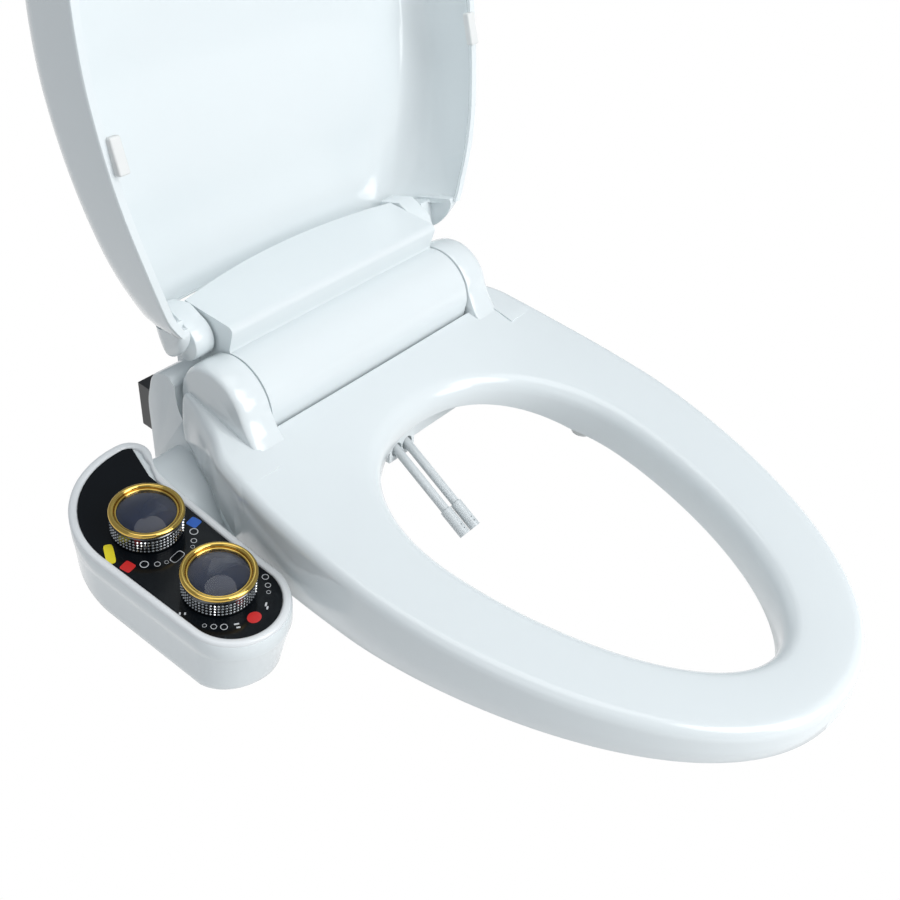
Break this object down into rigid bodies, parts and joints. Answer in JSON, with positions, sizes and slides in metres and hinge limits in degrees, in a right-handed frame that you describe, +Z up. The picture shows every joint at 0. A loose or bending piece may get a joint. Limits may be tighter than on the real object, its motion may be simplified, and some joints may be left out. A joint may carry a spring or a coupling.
{
  "type": "bidet toilet seat",
  "caption": "Elongated bidet toilet seat with a hinged ring and lid, a rear water housing with two extending spray nozzles and a side control box with two turning knobs.",
  "frame": {"origin": "midway between the two fixing bolts, on the underside of the mounting bracket, which is the plane of the bowl's rim", "axes": "+Z up, -Y towards the front tip of the seat, +X towards a sitting user's left, so the control box is at -X"},
  "size_m": [0.472, 0.6286, 0.7091],
  "materials": {
    "white_plastic": "gloss",
    "bracket_plastic": "satin",
    "grey_plastic": "satin",
    "rim_plastic": "gloss",
    "black_panel": "gloss",
    "gold": "polished",
    "chrome": "polished",
    "dial": "gloss",
    "clear": "polished",
    "rubber_white": "matte",
    "rubber_black": "matte",
    "steel": "brushed",
    "brass": "satin",
    "black_plastic": "satin"
  },
  "bodies": {
    "base": {"mounting_bracket": "bracket_plastic", "base_tray": "white_plastic", "tray_pad_left": "rubber_black", "tray_pad_right": "rubber_black", "tray_screw_1": "steel", "tray_screw_2": "steel", "tray_screw_3": "steel", "tray_screw_4": "steel", "housing_cover": "white_plastic", "seat_pin_left": "steel", "seat_pin_right": "steel", "lid_pin_left": "steel", "lid_pin_right": "steel", "control_arm": "white_plastic", "control_case": "white_plastic", "control_floor": "white_plastic", "control_rim": "rim_plastic", "control_panel": "black_panel", "temperature_valve": "brass", "pressure_valve": "brass", "nozzle_holder": "grey_plastic", "nozzle_guard": "white_plastic", "inlet_block": "black_plastic", "cold_inlet": "chrome", "hot_inlet": "chrome", "cold_washer": "rubber_black", "hot_washer": "rubber_black"},
    "seat": {"seat_shell": "white_plastic", "seat_underside": "white_plastic", "seat_arm_left": "white_plastic", "seat_arm_right": "white_plastic", "seat_bumper_front_left": "rubber_white", "seat_bumper_front_right": "rubber_white", "seat_bumper_rear_left": "rubber_white", "seat_bumper_rear_right": "rubber_white"},
    "lid": {"lid_shell": "white_plastic", "lid_lug_left": "white_plastic", "lid_lug_right": "white_plastic", "lid_corner_left": "white_plastic", "lid_corner_right": "white_plastic", "lid_bumper_front_left": "rubber_white", "lid_bumper_front_right": "rubber_white", "lid_bumper_rear_left": "rubber_white", "lid_bumper_rear_right": "rubber_white"},
    "temperature_dial_knob": {"temperature_stem": "steel", "temperature_knob": "chrome", "temperature_ring": "gold", "temperature_dial": "dial", "temperature_dome": "clear"},
    "pressure_dial_knob": {"pressure_stem": "steel", "pressure_knob": "chrome", "pressure_ring": "gold", "pressure_dial": "dial", "pressure_dome": "clear"},
    "rear_nozzle": {"rear_nozzle_tube": "grey_plastic", "rear_nozzle_tip": "grey_plastic"},
    "front_nozzle": {"front_nozzle_tube": "grey_plastic", "front_nozzle_tip": "grey_plastic"}
  },
  "joints": [
    {"name": "seat_hinge", "type": "hinge", "parent": "base", "child": "seat", "pos_m": [0, 0.009, 0.0955], "axis": [-1, 0, 0], "range_deg": [0, 100]},
    {"name": "lid_hinge", "type": "hinge", "parent": "base", "child": "lid", "pos_m": [0, 0.05, 0.137], "axis": [-1, 0, 0], "range_deg": [-107, 0]},
    {"name": "temperature_knob_turn", "type": "hinge", "parent": "base", "child": "temperature_dial_knob", "pos_m": [-0.2316, -0.01141, 0.04316], "axis": [0, -0.1018, 0.9948], "range_deg": [-58, 58]},
    {"name": "pressure_knob_turn", "type": "hinge", "parent": "base", "child": "pressure_dial_knob", "pos_m": [-0.2316, -0.0905, 0.03507], "axis": [0, -0.1018, 0.9948], "range_deg": [-90, 90]},
    {"name": "rear_nozzle_slide", "type": "slide", "parent": "base", "child": "rear_nozzle", "axis": [0, -0.866, -0.5], "range_m": [-0.075, 0]},
    {"name": "front_nozzle_slide", "type": "slide", "parent": "base", "child": "front_nozzle", "axis": [0, -0.866, -0.5], "range_m": [-0.075, 0]}
  ]
}
